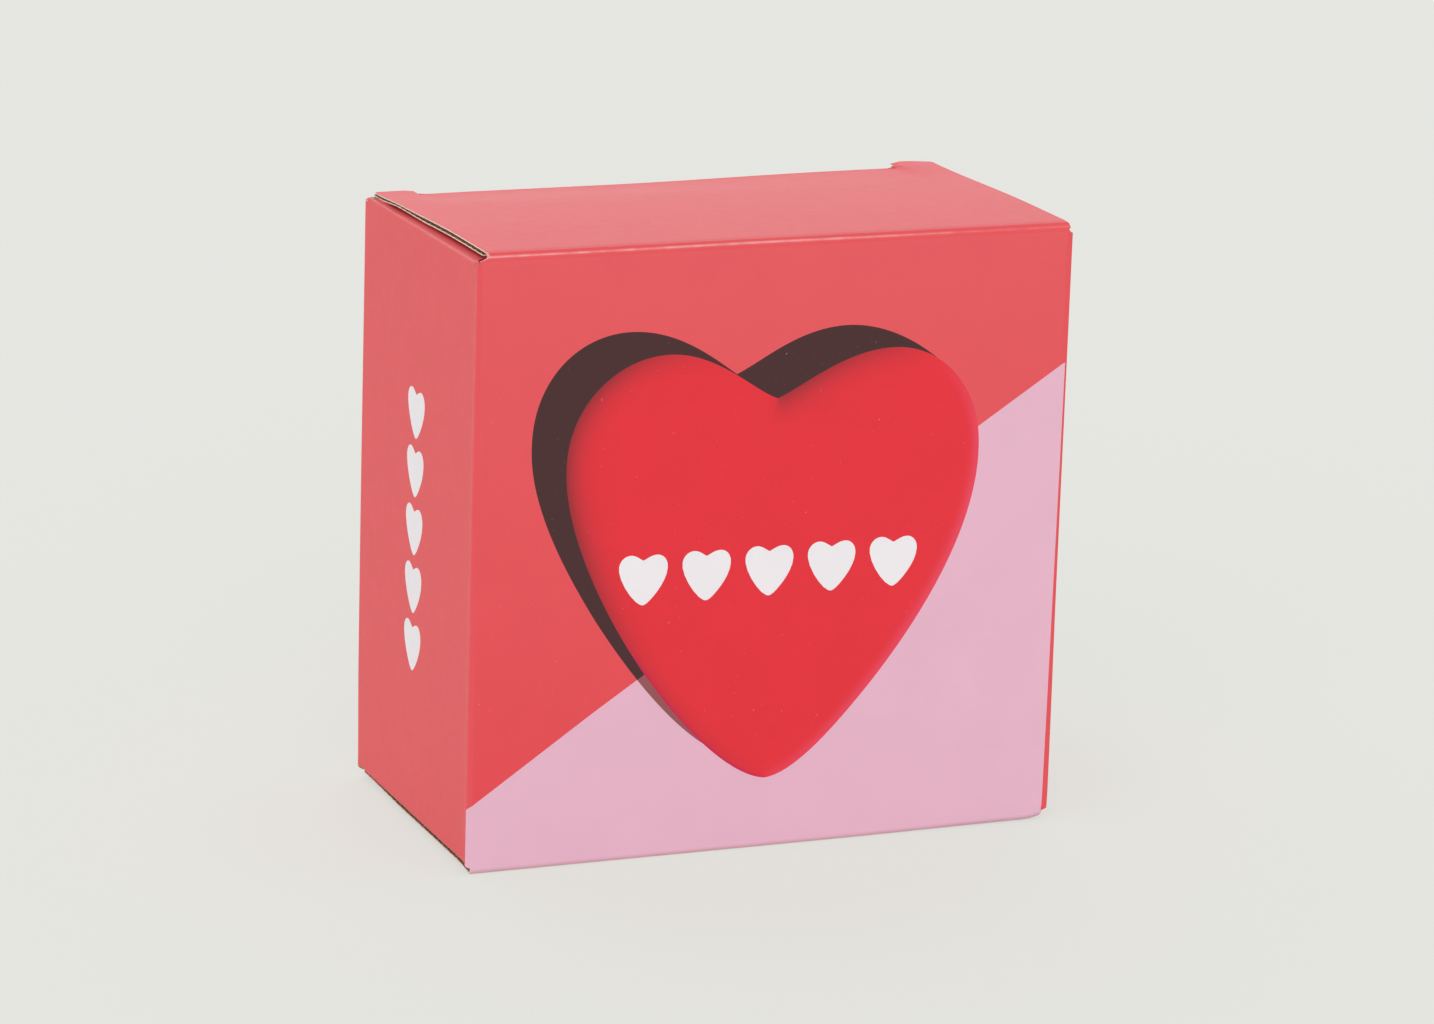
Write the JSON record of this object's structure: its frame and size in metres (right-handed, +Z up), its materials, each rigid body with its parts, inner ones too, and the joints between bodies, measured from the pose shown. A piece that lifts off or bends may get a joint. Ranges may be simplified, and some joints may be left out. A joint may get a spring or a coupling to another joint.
{
  "type": "tuck-end gift carton with heart-shaped box",
  "caption": "Upright printed corrugated carton with hinged tuck lids and dust flaps, holding a glazed ceramic heart-shaped box in a board cradle.",
  "frame": {"origin": "middle of the carton's footprint, on the surface that it stands on", "axes": "+Z up, +X to the right along the printed front panel, which faces -Y"},
  "size_m": [0.152, 0.082, 0.15],
  "materials": {
    "printed_liner": "satin print",
    "fluting_paper": "matte kraft",
    "kraft_liner": "matte kraft",
    "cradle_board": "matte kraft",
    "glazed_ceramic": "gloss glaze"
  },
  "bodies": {
    "carton": {"front_outer_liner": "printed_liner", "front_fluting": "fluting_paper", "front_inner_liner": "kraft_liner", "back_outer_liner": "printed_liner", "back_fluting": "fluting_paper", "back_inner_liner": "kraft_liner", "left_outer_liner": "printed_liner", "left_fluting": "fluting_paper", "left_inner_liner": "kraft_liner", "right_outer_liner": "printed_liner", "right_fluting": "fluting_paper", "right_inner_liner": "kraft_liner", "glue_flap_outer_liner": "printed_liner", "glue_flap_fluting": "fluting_paper", "glue_flap_inner_liner": "kraft_liner", "corner_creases": "printed_liner", "ceramic_base": "glazed_ceramic", "ceramic_cover": "glazed_ceramic", "cradle_face": "cradle_board", "cradle_left_flange": "cradle_board", "cradle_right_flange": "cradle_board", "top_lid_crease": "printed_liner", "top_left_dust_crease": "printed_liner", "top_right_dust_crease": "printed_liner", "bottom_lid_crease": "printed_liner", "bottom_left_dust_crease": "printed_liner", "bottom_right_dust_crease": "printed_liner"},
    "top_lid": {"top_lid_outer_liner": "printed_liner", "top_lid_fluting": "fluting_paper", "top_lid_inner_liner": "kraft_liner", "top_tuck_crease": "printed_liner"},
    "top_tuck_flap": {"top_tuck_flap_outer_liner": "printed_liner", "top_tuck_flap_fluting": "fluting_paper", "top_tuck_flap_inner_liner": "kraft_liner"},
    "top_left_dust_flap": {"top_left_dust_flap_outer_liner": "printed_liner", "top_left_dust_flap_fluting": "fluting_paper", "top_left_dust_flap_inner_liner": "kraft_liner"},
    "top_right_dust_flap": {"top_right_dust_flap_outer_liner": "printed_liner", "top_right_dust_flap_fluting": "fluting_paper", "top_right_dust_flap_inner_liner": "kraft_liner"},
    "bottom_lid": {"bottom_lid_outer_liner": "printed_liner", "bottom_lid_fluting": "fluting_paper", "bottom_lid_inner_liner": "kraft_liner", "bottom_tuck_crease": "printed_liner"},
    "bottom_tuck_flap": {"bottom_tuck_flap_outer_liner": "printed_liner", "bottom_tuck_flap_fluting": "fluting_paper", "bottom_tuck_flap_inner_liner": "kraft_liner"},
    "bottom_left_dust_flap": {"bottom_left_dust_flap_outer_liner": "printed_liner", "bottom_left_dust_flap_fluting": "fluting_paper", "bottom_left_dust_flap_inner_liner": "kraft_liner"},
    "bottom_right_dust_flap": {"bottom_right_dust_flap_outer_liner": "printed_liner", "bottom_right_dust_flap_fluting": "fluting_paper", "bottom_right_dust_flap_inner_liner": "kraft_liner"}
  },
  "joints": [
    {"name": "top_lid_hinge", "type": "hinge", "parent": "carton", "child": "top_lid", "pos_m": [0, -0.0402, 0.1492], "axis": [1, 0, 0], "range_deg": [0, 135], "deforming": ["top_lid_crease"]},
    {"name": "top_tuck_fold", "type": "hinge", "parent": "top_lid", "child": "top_tuck_flap", "pos_m": [0, 0.0375, 0.1484], "axis": [1, 0, 0], "range_deg": [0, 41], "deforming": ["top_tuck_crease"]},
    {"name": "top_left_dust_fold", "type": "hinge", "parent": "carton", "child": "top_left_dust_flap", "pos_m": [-0.0752, 0, 0.1474], "axis": [0, -1, 0], "range_deg": [0, 90], "deforming": ["top_left_dust_crease"]},
    {"name": "top_right_dust_fold", "type": "hinge", "parent": "carton", "child": "top_right_dust_flap", "pos_m": [0.0752, 0, 0.1474], "axis": [0, 1, 0], "range_deg": [0, 90], "deforming": ["top_right_dust_crease"]},
    {"name": "bottom_lid_hinge", "type": "hinge", "parent": "carton", "child": "bottom_lid", "pos_m": [0, -0.0402, 0.0008], "axis": [-1, 0, 0], "range_deg": [0, 135], "deforming": ["bottom_lid_crease"]},
    {"name": "bottom_tuck_fold", "type": "hinge", "parent": "bottom_lid", "child": "bottom_tuck_flap", "pos_m": [0, 0.0375, 0.0016], "axis": [-1, 0, 0], "range_deg": [0, 41], "deforming": ["bottom_tuck_crease"]},
    {"name": "bottom_left_dust_fold", "type": "hinge", "parent": "carton", "child": "bottom_left_dust_flap", "pos_m": [-0.0752, 0, 0.0026], "axis": [0, 1, 0], "range_deg": [0, 90], "deforming": ["bottom_left_dust_crease"]},
    {"name": "bottom_right_dust_fold", "type": "hinge", "parent": "carton", "child": "bottom_right_dust_flap", "pos_m": [0.0752, 0, 0.0026], "axis": [0, -1, 0], "range_deg": [0, 90], "deforming": ["bottom_right_dust_crease"]}
  ],
  "couplings": [
    {"joint": "top_tuck_fold", "follows": "top_lid_hinge", "ratio": 0.3},
    {"joint": "top_left_dust_fold", "follows": "top_lid_hinge", "ratio": 0.6666},
    {"joint": "top_right_dust_fold", "follows": "top_lid_hinge", "ratio": 0.6666},
    {"joint": "bottom_tuck_fold", "follows": "bottom_lid_hinge", "ratio": 0.3},
    {"joint": "bottom_left_dust_fold", "follows": "bottom_lid_hinge", "ratio": 0.6666},
    {"joint": "bottom_right_dust_fold", "follows": "bottom_lid_hinge", "ratio": 0.6666}
  ]
}
